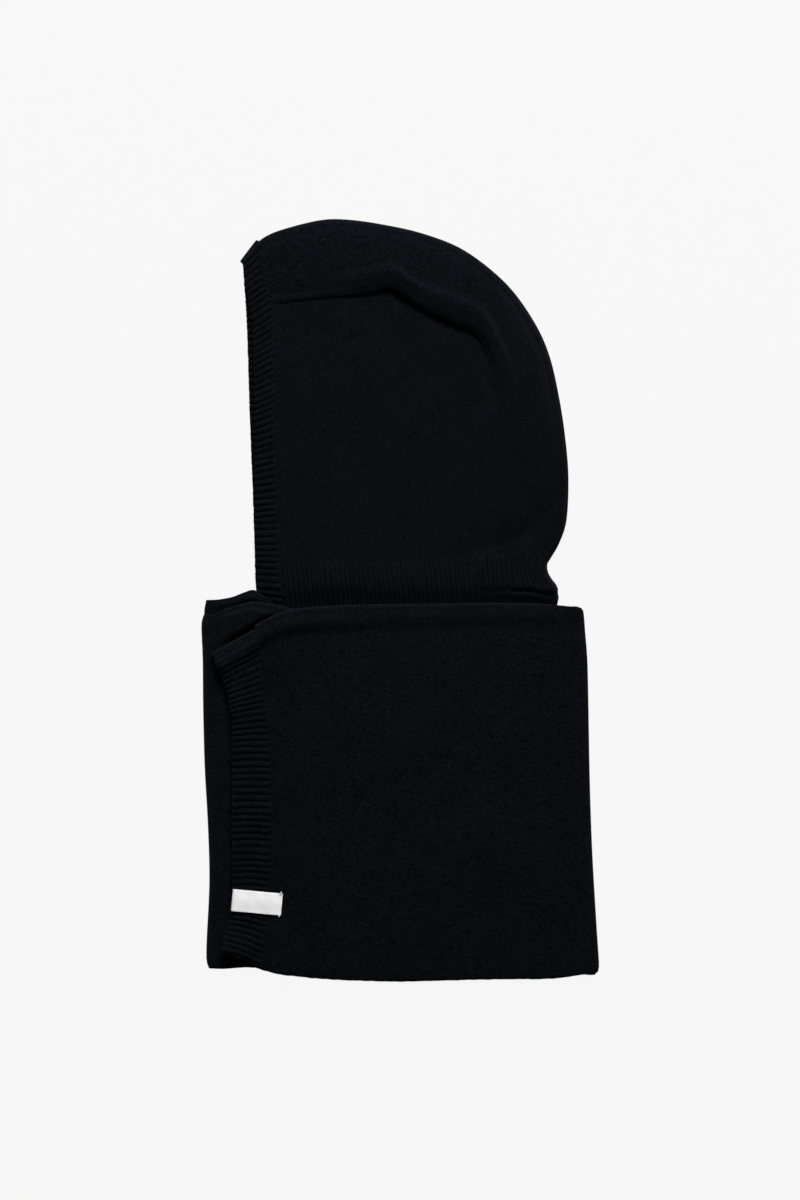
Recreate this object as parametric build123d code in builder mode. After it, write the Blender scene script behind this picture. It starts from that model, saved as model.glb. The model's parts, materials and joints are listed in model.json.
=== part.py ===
from build123d import *
import os

# Knitted balaclava: a hood with a ribbed face band, sewn at the neck to the middle of a long scarf.
# It lies folded flat on its right side: face opening towards -X, crown towards +Y, +Z up.
# The two scarf tails lie below the neck, folded together at the left and again at the right.
# Origin: middle of the footprint, on the surface that it lies on. All sizes are in millimetres.

os.makedirs("parts", exist_ok=True)

# --- driving dimensions -------------------------------------------------------------------------
CLOTH = 2.4  # thickness of one layer of knit
LAYER_GAP = 0.5  # air between two layers that are folded onto each other
POCKET = 6.0  # open height between the two sides of the hood
RIB_PROUD = 0.6  # how far a rib stands out of its band
SEAM = 1.2  # width of a linking seam
SEAM_PROUD = 0.3  # how far a seam stands out of the panels beside it, where nothing lies on it
SEAM_SUNK = 0.2  # how far a seam lies back from the surface underneath
CLEAR = 0.3  # a layer ends this far from the axis that it folds about

BAND_RIB_PITCH = 5.5
NECK_RIB_PITCH = 4.0
CUFF_RIB_PITCH = 5.6
RIB_SHARE = 0.62  # width of a rib as a share of its pitch

LABEL_LONG = 44.0
LABEL_WIDE = 20.0
LABEL_THICK = 0.4
LABEL_TILT = -5.2  # degrees
LABEL_MIDDLE = (-120.0, -254.0)
STITCH_LONG = 3.2
STITCH_RADIUS = 0.35

# --- heights of the layers, from the surface up ---------------------------------------------------
PITCH_Z = CLOTH + LAYER_GAP
RIGHT_SIDE_Z = 0.0
LEFT_SIDE_Z = CLOTH + POCKET
LEFT_MIDDLE_Z = LEFT_SIDE_Z + PITCH_Z
RIGHT_MIDDLE_Z = LEFT_MIDDLE_Z + PITCH_Z
RIGHT_END_Z = RIGHT_MIDDLE_Z + PITCH_Z
LEFT_END_Z = RIGHT_END_Z + PITCH_Z
SIDES_TOP = LEFT_SIDE_Z + CLOTH
FAR = 400.0  # larger than the whole object
SPARE = 1.0  # how far a cutting shape reaches past what it cuts
RIB_SPARE = 10.0  # how much longer than its band a rib is drawn
BEND_SPARE = 40.0  # how far a bend is drawn past its fold line, before it is trimmed

# --- outlines -----------------------------------------------------------------------------------
CROWN_CURVE = [
    (-133, 287),
    (-109, 307),
    (-60, 319.5),
    (0, 312),
    (54, 293),
    (100, 252),
    (129, 189),
    (140.5, 117),
    (139, 66),
    (124, 28),
    (130, 9),
    (133, -3),
]
LEFT_FRONT_EDGE = [(-133, 287), (-122, 239), (-121.4, 151), (-120.3, 10)]
RIGHT_FRONT_EDGE = [(-133, 287), (-128, 240), (-125.8, 175), (-120.4, 10)]
BAND_INNER_EDGE = [(-119, 312), (-109, 268), (-105.5, 236), (-105, 140), (-101, 33), (-99, -20)]
CROWN_SEAM_CURVE = [
    (-118, 249),
    (-72, 256),
    (-7, 262),
    (48, 234),
    (74, 204),
    (84, 160),
    (88, 100),
    (80, 20),
]
NECK_TOP_EDGE = [(-112, 29), (0, 30), (60, 33), (121, 43), (150, 46)]
SCARF_TOP_EDGE = [(-170, -3), (-157, 0.5), (-121, 9), (-97, 2), (-60, -3), (20, -4), (180, -5)]
UNDER_TOP_EDGE = [(-175, -20), (-157, -11.5), (-134, -4), (-110, -1), (-60, -5), (0, -6), (180, -7)]
FRONT_TOP_EDGE = [(-157, -47.5), (-142, -37), (-120, -21.5), (-87, -10), (-50, -7), (180, -7)]

PANEL_CORNER = (-118, 0)  # the side panels are drawn to here, under the two bands
HOOD_FOOT = -15.0  # the hood outline is drawn to here, under the top edge of the scarf
BACK_FOLD_X = 131.0  # centre back of the scarf
LAYER_HEAD = 20.0  # the scarf layers are drawn to here, then trimmed to their top edges
SCARF_BOTTOM = -312.0
FRONT_BOTTOM = -319.5
LEFT_FOLD = [(-158.1, 0), (-152.8, -310)]
RIGHT_FOLD = [(147.9, -5), (160.7, -311)]
CUFF_EDGE = [(-157, -47.5), (-146.6, -70), (-140.5, -106), (-140, -242), (-141, -266), (-149.5, -293)]
CUFF_INNER_EDGE = [(-118, -30), (-122, -49), (-113, -96), (-108.5, -150), (-108, -211), (-122, -322)]
CUFF_CORNER = [(-149.5, -293), (-137, -296), (-118, -306)]  # the cuff's lower edge
CORNER_END_X = -90.0  # the end stretch reaches its full depth here
RIGHT_CUFF_SHIFT = 12.0  # the right tail's cuff lies this much further in, under the left one
WALL_INSET = 281.0  # the two runs of the face band join above this height
BAND_WALL_X = -110.0  # the join of the two runs tapers off here
CURVE_STEPS = 14  # stretches of a curve that runs beside another
LABEL_END_GAP = 1.5  # from the ends and sides of the label to the middle of its stitches


# --- outline regions ----------------------------------------------------------------------------
def left_of(edge):
    """Everything to the left of an open edge that runs from top to bottom."""
    with BuildSketch() as region:
        with BuildLine():
            Spline(*edge)
            Polyline(edge[-1], (-FAR, edge[-1][1]), (-FAR, edge[0][1]), edge[0])
        make_face()
    return region.sketch


def below(edge):
    """Everything below an open edge that runs from left to right."""
    with BuildSketch() as region:
        with BuildLine():
            Spline(*edge)
            Polyline(edge[-1], (edge[-1][0], -FAR), (edge[0][0], -FAR), edge[0])
        make_face()
    return region.sketch


def hood_outline(front_edge):
    """Outline of the hood with its neck band, for the side that has this front edge."""
    with BuildSketch() as region:
        with BuildLine():
            Spline(*CROWN_CURVE)
            Polyline(
                CROWN_CURVE[-1],
                (CROWN_CURVE[-1][0], HOOD_FOOT),
                (front_edge[-1][0], HOOD_FOOT),
                front_edge[-1],
            )
            Spline(*front_edge)
        make_face()
    return region.sketch


def beside(curve, depth):
    """Points of a curve that runs beside a curve, this far to the right of its direction."""
    outline = Edge.make_spline([Vector(x, y) for x, y in curve])
    points = []
    for step in range(CURVE_STEPS + 1):
        place, along = outline @ (step / CURVE_STEPS), outline % (step / CURVE_STEPS)
        points.append((place.X + along.Y * depth, place.Y - along.X * depth))
    return points


def pocket_outline():
    """The hollow of the hood: the outline less one layer, open at the face and at the neck."""
    crown = beside(CROWN_CURVE, CLOTH)
    with BuildSketch() as region:
        with BuildLine():
            Spline(*crown)
            Polyline(crown[-1], (crown[-1][0], -FAR), (-FAR, -FAR), (-FAR, WALL_INSET), crown[0])
        make_face()
        with BuildLine():
            Polyline((-FAR, WALL_INSET), (BAND_WALL_X, WALL_INSET), (-FAR, FAR), close=True)
        make_face(mode=Mode.SUBTRACT)
    return region.sketch


def inside_crown_seam(width):
    """The side panel's area, grown by the given width past the crown seam."""
    seam = beside(CROWN_SEAM_CURVE, -width) if width else CROWN_SEAM_CURVE
    with BuildSketch() as region:
        with BuildLine():
            Spline(*seam)
            Polyline(seam[-1], PANEL_CORNER, seam[0])
        make_face()
    return region.sketch


def shifted(edge, dx=0.0, dy=0.0):
    """An edge moved sideways or up."""
    return [(x + dx, y + dy) for x, y in edge]


HOOD = {"left": hood_outline(LEFT_FRONT_EDGE), "right": hood_outline(RIGHT_FRONT_EDGE)}
SIDE_Z = {"left": LEFT_SIDE_Z, "right": RIGHT_SIDE_Z}
POCKET_AREA = pocket_outline()
BAND_AREA = left_of(BAND_INNER_EDGE)
BAND_AND_SEAM = left_of(shifted(BAND_INNER_EDGE, dx=SEAM))
SCARF_AREA = below(SCARF_TOP_EDGE)
SCARF_AND_SEAM = below(shifted(SCARF_TOP_EDGE, dy=SEAM))
NECK_AREA = below(NECK_TOP_EDGE)
NECK_AND_SEAM = below(shifted(NECK_TOP_EDGE, dy=SEAM))
PANEL_AREA = inside_crown_seam(0)
PANEL_AND_SEAM = inside_crown_seam(SEAM)


def region_of(side, inside=(), outside=()):
    """The hood's outline on one side, cut to the areas given."""
    with BuildSketch() as region:
        add(HOOD[side])
        for area in inside:
            add(area, mode=Mode.INTERSECT)
        for area in outside:
            add(area, mode=Mode.SUBTRACT)
    return region.sketch


def rib_rows(region, pitch, along_x):
    """Ribs over a region: long bars along X or along Y, one to each pitch."""
    box = region.bounding_box()
    middle = box.center()
    rows = int((box.size.Y if along_x else box.size.X) / pitch) + 1
    with BuildSketch() as ribs:
        with Locations((middle.X, middle.Y)):
            with GridLocations(pitch, pitch, 1 if along_x else rows, rows if along_x else 1):
                if along_x:
                    Rectangle(box.size.X + RIB_SPARE, pitch * RIB_SHARE)
                else:
                    Rectangle(pitch * RIB_SHARE, box.size.Y + RIB_SPARE)
        add(region, mode=Mode.INTERSECT)
    return ribs.sketch


def slab(region, z, thickness=CLOTH):
    """One flat layer of cloth over a region."""
    with BuildPart(mode=Mode.PRIVATE) as layer:
        with BuildSketch(Plane.XY.offset(z)):
            add(region)
        extrude(amount=thickness)
    return layer.part


def ribbed_slab(region, z, pitch, along_x, ribs_up):
    """A layer of the same total thickness, with ribs on its outer face."""
    with BuildPart(mode=Mode.PRIVATE) as layer:
        add(slab(region, z if ribs_up else z + RIB_PROUD, CLOTH - RIB_PROUD))
        add(slab(rib_rows(region, pitch, along_x), z + CLOTH - RIB_PROUD if ribs_up else z, RIB_PROUD))
    return layer.part


def seam_slab(region, side, proud=SEAM_PROUD):
    """A strip of seam: proud of the cloth on the upper side, sunk into it underneath."""
    if side == "left":
        return slab(region, LEFT_SIDE_Z, CLOTH + proud)
    return slab(region, RIGHT_SIDE_Z + SEAM_SUNK, CLOTH - SEAM_SUNK)


def two_sides(inside, outside, seam=False, pitch=0.0, along_x=False):
    """A piece that runs over both sides of the hood and round its outline, open between them."""
    with BuildPart(mode=Mode.PRIVATE) as piece:
        for side in ("left", "right"):
            region = region_of(side, inside, outside)
            z = SIDE_Z[side]
            if pitch:
                add(ribbed_slab(region, z, pitch, along_x, ribs_up=side == "left"))
            elif seam:
                add(seam_slab(region, side))
            else:
                add(slab(region, z))
        wall = region_of("left", inside, [*outside, POCKET_AREA])
        add(slab(wall, CLOTH / 2, SIDES_TOP - CLOTH))
    return piece.part


def fold_plane(line, z, outward):
    """A plane square to a fold line, at its first point, with X pointing out of the fold."""
    (x0, y0), (x1, y1) = line
    along = Vector(x1 - x0, y1 - y0, 0).normalized()
    across = Vector(-along.Y, along.X, 0) * outward
    return Plane(origin=(x0, y0, z), x_dir=across, z_dir=along)


def bend(line, z_low, z_high, outward, region):
    """The half tube of cloth between two layers, along a fold line, trimmed to a region."""
    radius = (z_high - z_low) / 2
    (x0, y0), (x1, y1) = line
    length = Vector(x1 - x0, y1 - y0, 0).length
    with BuildPart(mode=Mode.PRIVATE) as tube:
        with BuildSketch(fold_plane(line, (z_high + z_low) / 2, outward)):
            Circle(radius)
            Circle(radius - CLOTH, mode=Mode.SUBTRACT)
            with Locations((-radius, 0)):
                Rectangle(2 * radius, 2 * radius + SPARE, mode=Mode.SUBTRACT)
        extrude(amount=length + BEND_SPARE, both=True)
        add(slab(region, z_low - SPARE, z_high - z_low + 2 * SPARE), mode=Mode.INTERSECT)
    return tube.part


def layer_area(top_edge, bottom, left=None, right=None):
    """Area of a scarf layer under its top edge, between the fold lines that bound it."""
    left_line = shifted(left, dx=CLEAR) if left else [(-FAR, 0), (-FAR, bottom)]
    right_line = shifted(right, dx=-CLEAR) if right else [(FAR, 0), (FAR, bottom)]
    with BuildSketch() as region:
        with BuildLine():
            Polyline(
                stretched(left_line, LAYER_HEAD),
                stretched(left_line, bottom),
                stretched(right_line, bottom),
                stretched(right_line, LAYER_HEAD),
                close=True,
            )
        make_face()
        add(below(top_edge), mode=Mode.INTERSECT)
    return region.sketch


def stretched(line, y):
    """The point at height y on the straight line through two points."""
    (x0, y0), (x1, y1) = line
    return (x0 + (x1 - x0) * (y - y0) / (y1 - y0), y)


def write(piece, name):
    """Saves one piece under its name."""
    piece.label = name
    export_step(piece, f"parts/{name}.step")


# --- hood ---------------------------------------------------------------------------------------
def hood_panels():
    """The two plain side panels."""
    for side in ("left", "right"):
        with BuildPart() as hood_panel:
            area = region_of(side, [PANEL_AREA], [BAND_AND_SEAM, NECK_AND_SEAM])
            add(slab(area, SIDE_Z[side]))
        write(hood_panel.part, f"hood_{side}_panel")


def crown():
    """The strip over the crown and down the back of the head, folded along its middle."""
    with BuildPart() as crown_panel:
        add(two_sides([], [PANEL_AND_SEAM, BAND_AND_SEAM, NECK_AND_SEAM]))
    write(crown_panel.part, "crown_panel")
    for side in ("left", "right"):
        with BuildPart() as crown_seam:
            area = region_of(side, [PANEL_AND_SEAM], [PANEL_AREA, BAND_AND_SEAM, NECK_AND_SEAM])
            add(seam_slab(area, side))
        write(crown_seam.part, f"crown_seam_{side}")


def face():
    """The ribbed band round the face opening, and the two seams that link it to the hood."""
    with BuildPart() as face_band:
        add(two_sides([BAND_AREA], [SCARF_AND_SEAM], pitch=BAND_RIB_PITCH, along_x=True))
    write(face_band.part, "face_band")
    for side in ("left", "right"):
        with BuildPart() as face_seam:
            area = region_of(side, [BAND_AND_SEAM], [BAND_AREA, SCARF_AND_SEAM])
            add(seam_slab(area, side))
        write(face_seam.part, f"face_seam_{side}")


def neck():
    """The ribbed neck band with the seams above and below it."""
    with BuildPart() as neck_band:
        add(two_sides([NECK_AREA], [BAND_AND_SEAM, SCARF_AND_SEAM], pitch=NECK_RIB_PITCH))
    write(neck_band.part, "neck_band")
    with BuildPart() as neck_seam_upper:
        add(two_sides([NECK_AND_SEAM], [NECK_AREA, BAND_AND_SEAM], seam=True))
    write(neck_seam_upper.part, "neck_seam_upper")
    with BuildPart() as neck_seam_lower:
        add(two_sides([SCARF_AND_SEAM], [SCARF_AREA], seam=True))
    write(neck_seam_lower.part, "neck_seam_lower")


# --- scarf --------------------------------------------------------------------------------------
def back():
    """The scarf's middle stretch: both halves from the left fold to the fold at the centre back."""
    radius = SIDES_TOP / 2
    with BuildPart() as scarf_back:
        with BuildSketch(Plane.XZ):
            with BuildLine():
                Polyline(
                    (BACK_FOLD_X - radius, SIDES_TOP),
                    (-FAR, SIDES_TOP),
                    (-FAR, LEFT_SIDE_Z),
                    (BACK_FOLD_X - radius, LEFT_SIDE_Z),
                )
                RadiusArc((BACK_FOLD_X - radius, LEFT_SIDE_Z), (BACK_FOLD_X - radius, CLOTH), radius - CLOTH)
                Polyline(
                    (BACK_FOLD_X - radius, CLOTH), (-FAR, CLOTH), (-FAR, 0), (BACK_FOLD_X - radius, 0)
                )
                RadiusArc((BACK_FOLD_X - radius, 0), (BACK_FOLD_X - radius, SIDES_TOP), -radius)
            make_face()
        extrude(amount=FAR, both=True)
        area = layer_area(SCARF_TOP_EDGE, SCARF_BOTTOM, left=LEFT_FOLD)
        add(slab(area, -SPARE, SIDES_TOP + 2 * SPARE), mode=Mode.INTERSECT)
    write(scarf_back.part, "scarf_back")


def middle_layers():
    """The middle stretch of each tail, between the left and the right fold."""
    for side, z, edge in (
        ("left", LEFT_MIDDLE_Z, SCARF_TOP_EDGE),
        ("right", RIGHT_MIDDLE_Z, UNDER_TOP_EDGE),
    ):
        with BuildPart() as tail_middle:
            add(slab(layer_area(edge, SCARF_BOTTOM, LEFT_FOLD, RIGHT_FOLD), z))
        write(tail_middle.part, f"{side}_tail_middle")


def end_layers():
    """The last stretch of each tail with its ribbed cuff and the seam that links them."""
    for side, z, dx, bottom in (
        ("left", LEFT_END_Z, 0.0, FRONT_BOTTOM),
        ("right", RIGHT_END_Z, RIGHT_CUFF_SHIFT, SCARF_BOTTOM),
    ):
        past_cuff = left_of(shifted(CUFF_EDGE, dx=dx))
        cuff_area = left_of(shifted(CUFF_INNER_EDGE, dx=dx))
        cuff_and_seam = left_of(shifted(CUFF_INNER_EDGE, dx=dx + SEAM))
        whole = layer_area(FRONT_TOP_EDGE, bottom, right=RIGHT_FOLD)
        foot = shifted(CUFF_CORNER, dx=dx)
        corner_side = (-FAR, foot[0][1])
        with BuildSketch() as corner:
            with BuildLine():
                Polyline(corner_side, *foot, (CORNER_END_X, bottom))
                Polyline((CORNER_END_X, bottom), (CORNER_END_X, -FAR), (-FAR, -FAR), corner_side)
            make_face()
        with BuildPart() as tail_end:
            with BuildSketch(Plane.XY.offset(z)):
                add(whole)
                add(cuff_and_seam, mode=Mode.SUBTRACT)
                add(corner.sketch, mode=Mode.SUBTRACT)
            extrude(amount=CLOTH)
        write(tail_end.part, f"{side}_tail_end")
        with BuildSketch() as cuff_shape:
            add(whole)
            add(cuff_area, mode=Mode.INTERSECT)
            add(past_cuff, mode=Mode.SUBTRACT)
            add(corner.sketch, mode=Mode.SUBTRACT)
        with BuildPart() as tail_cuff:
            add(ribbed_slab(cuff_shape.sketch, z, CUFF_RIB_PITCH, along_x=True, ribs_up=True))
        write(tail_cuff.part, f"{side}_tail_cuff")
        with BuildPart() as cuff_seam:
            with BuildSketch(Plane.XY.offset(z)):
                add(whole)
                add(cuff_and_seam, mode=Mode.INTERSECT)
                add(cuff_area, mode=Mode.SUBTRACT)
                add(corner.sketch, mode=Mode.SUBTRACT)
            extrude(amount=CLOTH)
        write(cuff_seam.part, f"{side}_cuff_seam")


def bends():
    """The four turns of the tails: one inside the other at each fold."""
    scarf_area = layer_area(SCARF_TOP_EDGE, SCARF_BOTTOM)
    under_area = layer_area(UNDER_TOP_EDGE, SCARF_BOTTOM)
    for name, line, low, high, outward, area in (
        ("left_tail_first_bend", LEFT_FOLD, LEFT_SIDE_Z, LEFT_MIDDLE_Z + CLOTH, -1, scarf_area),
        ("right_tail_first_bend", LEFT_FOLD, RIGHT_SIDE_Z, RIGHT_MIDDLE_Z + CLOTH, -1, under_area),
        ("right_tail_second_bend", RIGHT_FOLD, RIGHT_MIDDLE_Z, RIGHT_END_Z + CLOTH, 1, under_area),
        ("left_tail_second_bend", RIGHT_FOLD, LEFT_MIDDLE_Z, LEFT_END_Z + CLOTH, 1, under_area),
    ):
        with BuildPart() as tail_bend:
            add(bend(line, low, high, outward, area))
        write(tail_bend.part, name)


# --- label --------------------------------------------------------------------------------------
def label():
    """The blank woven label, folded round the outer edge of the left cuff, and its stitches."""
    low = LEFT_END_Z - LABEL_THICK
    high = LEFT_END_Z + CLOTH + LABEL_THICK
    tilted = Plane(origin=(*LABEL_MIDDLE, 0)).rotated((0, 0, LABEL_TILT))
    with BuildPart() as woven_label:
        with BuildSketch(tilted.offset(low)):
            Rectangle(LABEL_LONG, LABEL_WIDE)
        extrude(amount=high - low)
        with BuildSketch(tilted.offset(low + LABEL_THICK)):
            with Locations((LABEL_THICK, 0)):
                Rectangle(LABEL_LONG, LABEL_WIDE + 2 * SPARE)
        extrude(amount=CLOTH, mode=Mode.SUBTRACT)
    write(woven_label.part, "label")
    for name, side in (("upper", 1), ("lower", -1)):
        with BuildPart() as label_stitch:
            place = (LABEL_LONG / 2 - LABEL_END_GAP, side * (LABEL_WIDE / 2 - LABEL_END_GAP))
            with BuildSketch(tilted.offset(high)):
                with Locations(place):
                    SlotOverall(STITCH_LONG, 2 * STITCH_RADIUS)
            extrude(amount=STITCH_RADIUS)
        write(label_stitch.part, f"label_stitch_{name}")


hood_panels()
crown()
face()
neck()
back()
middle_layers()
end_layers()
bends()
label()
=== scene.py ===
import json
import math

import bpy
import numpy as np
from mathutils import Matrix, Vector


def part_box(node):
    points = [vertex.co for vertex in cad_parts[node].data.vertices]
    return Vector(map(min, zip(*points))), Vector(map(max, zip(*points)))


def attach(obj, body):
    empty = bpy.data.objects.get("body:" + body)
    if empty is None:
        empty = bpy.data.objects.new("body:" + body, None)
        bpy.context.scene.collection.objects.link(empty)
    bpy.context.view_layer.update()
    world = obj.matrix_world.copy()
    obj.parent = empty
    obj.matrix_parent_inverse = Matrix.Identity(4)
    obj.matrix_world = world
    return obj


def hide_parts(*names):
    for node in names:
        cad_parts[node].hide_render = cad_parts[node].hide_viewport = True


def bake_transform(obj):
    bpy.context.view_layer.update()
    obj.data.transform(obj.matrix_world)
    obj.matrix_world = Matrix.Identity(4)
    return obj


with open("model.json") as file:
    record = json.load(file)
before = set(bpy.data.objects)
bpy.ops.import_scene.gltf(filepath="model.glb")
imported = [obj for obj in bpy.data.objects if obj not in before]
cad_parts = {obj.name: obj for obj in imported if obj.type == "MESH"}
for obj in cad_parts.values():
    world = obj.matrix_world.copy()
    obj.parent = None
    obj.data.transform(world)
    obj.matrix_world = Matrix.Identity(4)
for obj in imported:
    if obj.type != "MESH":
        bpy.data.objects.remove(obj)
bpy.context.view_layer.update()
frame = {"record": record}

# A knitted hood with two scarf tails, lying folded flat on its right side. Lengths are in
# millimetres in the frame's axes and turned into metres where a mesh is written.
MM = 0.001
SLOT_COLOURS = {m["slot"]: m["base_color"][:3] for m in frame["record"]["materials"]}


def middle_z(node):
    """Height of the middle of a flat CAD layer, in mm."""
    low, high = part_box(node)
    return (low[2] + high[2]) / 2 / MM


# --- heights and thicknesses, from the frame ---
CLOTH = (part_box("hood_left_panel")[1][2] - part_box("hood_left_panel")[0][2]) / MM
RIGHT_Z = middle_z("hood_right_panel")
LEFT_Z = middle_z("hood_left_panel")
LEFT_MIDDLE_Z = middle_z("left_tail_middle")
RIGHT_MIDDLE_Z = middle_z("right_tail_middle")
RIGHT_END_Z = middle_z("right_tail_end")
LEFT_END_Z = middle_z("left_tail_end")
HOOD_TOP = LEFT_Z + 0.4  # middle of the hood's upper layer
OVER_CAD = 0.2  # how far the tails' front layers lie above the CAD's
KNIT = 2.0  # thickness of a layer

# --- knit ---
BAND_PITCH = 5.5  # from one rib to the next
NECK_PITCH = 4.0
CUFF_PITCH = 5.6
RIB_HEIGHT = 1.3  # of the face band and the cuffs, from groove to crown
NECK_RIB_HEIGHT = 1.0
RIB_WANDER = 0.17  # how far a rib strays, as a share of the pitch
PLAIN = 0.6  # relief of plain knit, on a scale where a groove is 0 and a rib's crown is 1
FLATTENED = 0.7  # relief of ribs that are pulled flat
WALE = 1.9  # width of a stitch
COURSE = 1.45  # length of a stitch
STITCH_DRIFT = 2.2  # how far the columns of stitches wander
FIBRE = 0.045  # half the width of a loose fibre at its root
RIM_ANGLES = (55, 22, -22, -55)  # the rings of points that round off a rim, in degrees
CROSSING = 0.15  # how steeply two knits dip where one is linked to the other
FOLD_REACH = 1.25  # how far a fold's turn bulges, as a share of its radius
SELVEDGE_RISE = 3.6  # height of a tail's rolled top edge
SELVEDGE_CREST = 9  # how far in from the edge it is highest
SELVEDGE_END = 20  # how far in it has gone

# --- colour, light and camera ---
COOL = (0.305, 0.382, 0.508)  # the worsted looks darker and cooler than its listed colour
# the knit's colour runs from KNIT_DARK to KNIT_LIGHT times its base colour: painted shade in the
# gaps between stitches and in rib grooves, painted highlight on the stitches' crowns, and
# heathered colour
KNIT_DARK = 0.02  # share of the base colour in the gaps between stitches
KNIT_LIGHT = 2.5  # share of it on the highest fibres
LABEL_SHADE = 0.85
FLOOR_GLOW = 0.915
KEY_WATTS = 333
KEY_SIZE = (2.4, 1.0)  # metres
KEY_PLACE = (0.3, 3.1, 2.0)  # metres, beyond the crown
KEY_TILT = -57  # degrees from straight down
SKY = 0.13
VIEW_SIDE = 1.008  # metres along the picture's longer side,
VIEW_Z = 0.01  # at this height above the floor
LENS, SENSOR = 180, 36

# --- outlines, seen from above ---
# the face band: its edge on the left and on the right side of the face, and its inner seam
BAND_EDGE = [
    (-118, -6), (-119, 8), (-120.6, 60), (-121.4, 151), (-122.4, 205), (-124.6, 239),
    (-129.5, 268), (-131.5, 283),
]
BAND_EDGE_RIGHT = [
    (-118, -4), (-120.4, 12), (-122.5, 81), (-125.3, 151), (-127, 205), (-128.4, 240),
    (-130.4, 268), (-131.5, 283),
]
BAND_INNER = [
    (-97, -9), (-98.5, 8), (-101, 33), (-103, 83), (-105.3, 151), (-105.6, 236), (-108, 258),
    (-111, 281), (-116, 297),
]
# the crown strip: its outer edge and the seam to the side panels, from the brow backwards
CROWN_OUTLINE = [
    (-123, 298), (-111, 306), (-95, 312), (-67, 318.7), (-46, 319.3), (-18, 315.7), (19, 307.5),
    (54, 293.2), (88, 266.3), (110.8, 236), (124.6, 206.5), (133.2, 170), (138.6, 134), (141, 102),
    (139.5, 68), (133.8, 49), (127, 36.5), (121.6, 28),
]
CROWN_SEAM = [
    (-110, 249.5), (-90, 252.5), (-60, 256), (-29, 258.5), (-10, 263.5), (3, 257.5), (24, 244.5),
    (46, 234), (64, 225), (74, 208), (82, 174), (87, 130), (88, 90), (84, 28),
]
SEAM_CORNER = 8  # the point of the seam where a side panel's top turns into its back
# the side panels' edges under the neck band and the face band
PANEL_FOOT = [(-104, 24), (0, 25), (89, 27)]
PANEL_FRONT = [(-104, 24), (-105, 83), (-107.5, 151), (-108.5, 236)]
PANEL_TUCK = 5.0  # how far they reach under the crown strip
# the neck band: the line where the hood is linked to it, its foot, and its end at the back
NECK_TOP = [(-104, 30), (-50, 29), (0, 30), (58, 33), (90, 38), (126, 42)]
NECK_FOOT = [(-99, -13), (-50, -14), (0, -14), (60, -14), (128.5, -14)]
NECK_BACK = [
    (128.5, -14), (129.4, -2), (129, 4), (127.2, 10), (123, 15.5), (120, 21), (118.8, 27),
    (119.6, 33), (123.6, 41),
]
# the tails' front layer: top edge, right fold from the top down, foot
FRONT_TOP = [
    (-121, -26.2), (-110, -20.5), (-99, -15.5), (-87, -12.8), (-70, -11), (-37, -9), (16, -7.5),
    (84, -5.5), (125, -5.5), (149, -6.5),
]
FRONT_RIGHT = [
    (149.5, -6.5), (153, -8), (154.4, -12.5), (155.6, -28), (157.2, -48), (158, -75),
    (159.4, -152), (161.4, -210), (164.3, -261), (166.3, -292), (167.2, -306), (166.7, -311.5),
    (164.5, -313.5),
]
FRONT_FOOT = [
    (-120, -307), (-103, -311.5), (-90, -313.5), (-57, -316.5), (0, -318.5), (77, -317),
    (128, -316.5), (163, -312),
]
# the cuff: free edge and seam from the top down, top and foot from the free edge inwards
CUFF_EDGE = [
    (-156, -48), (-151, -60), (-146, -72), (-142, -90), (-140, -112), (-140, -190), (-139.8, -242),
    (-141.5, -266), (-146, -281), (-149.5, -294.5),
]
CUFF_INNER = [
    (-118, -24.2), (-119, -44), (-116, -66), (-112, -96), (-109, -125), (-108.5, -211),
    (-110, -240), (-113, -274), (-117, -308),
]
CUFF_TOP = [(-156, -48), (-147, -42), (-133, -33.5), (-118, -24.2)]
CUFF_FOOT = [(-149.5, -294.5), (-141, -297), (-132, -300.5), (-124, -305), (-117, -308)]
# where a rib that leaves the cuff's seam at the first height reaches the free edge
FAN = [
    (-308, -294.5), (-275, -268), (-245, -244), (-120, -121), (-90, -96), (-60, -73), (-25, -48),
]
# the left fold from the top down, and the top edges of the outer and the inner tail's layers
OUTER_LEFT = [
    (-165.5, -13), (-167, -22), (-166, -50), (-165.6, -90), (-164.3, -140), (-161.8, -185),
    (-160.4, -225), (-160.8, -250), (-162.6, -285), (-162.8, -302), (-161, -308.5),
]
OUTER_TOP = [
    (-165, -13.5), (-155, -12.9), (-144, -9.2), (-134, -6.8), (-124, -4.5), (-114, -5.5),
    (-100, -8.5), (-80, -11), (-60, -12), (0, -11), (150, -12),
]
INNER_TOP = [
    (-160.5, -1), (-151, -0.8), (-141, 1), (-130, 5.2), (-123, 7), (-116, 3), (-107, -4),
    (-97, -8), (-60, -8.5), (0, -8), (150, -8.5),
]
BACK_X = 125.0  # where the scarf's two layers meet its fold at the centre back
MIDDLE_X = 0.0  # where each tail's second layer passes from one mesh to the next
LAYER_FOOT = -309.5

# --- the crown's shape ---
# Ten control points across the strip, from its seam to its outer turn. Their distance from the
# seam, for the last three as a share of the strip's width:
PUFFED_UNDER = (4, 0, -2.2, 0)
PUFFED_OVER = (6, 14, 20)
FLAT_FROM_SEAM = (-5, -3, -1, 2, 6, 12, 20)
WIDTH_SHARES = (0.6, 0.84, 1)
# their height over the hood where the strip is puffed out and where it lies flat, and what is
# added to the flat height everywhere but at the nape:
PUFFED_Z = (-0.9, -0.3, 2.2, 5.2, 7.6, 9.2, 5.9, 4.5, 2.9, 0)
FLAT_Z = (-0.75, -0.42, -0.12, 0, 0, 0, 0, 0.3, 0.3, 0)
FLAT_PUFF_Z = (0, 0, 0, 0.1, 0.6, 1.4, 2.3, 2.7, 1.7, 0)
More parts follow.
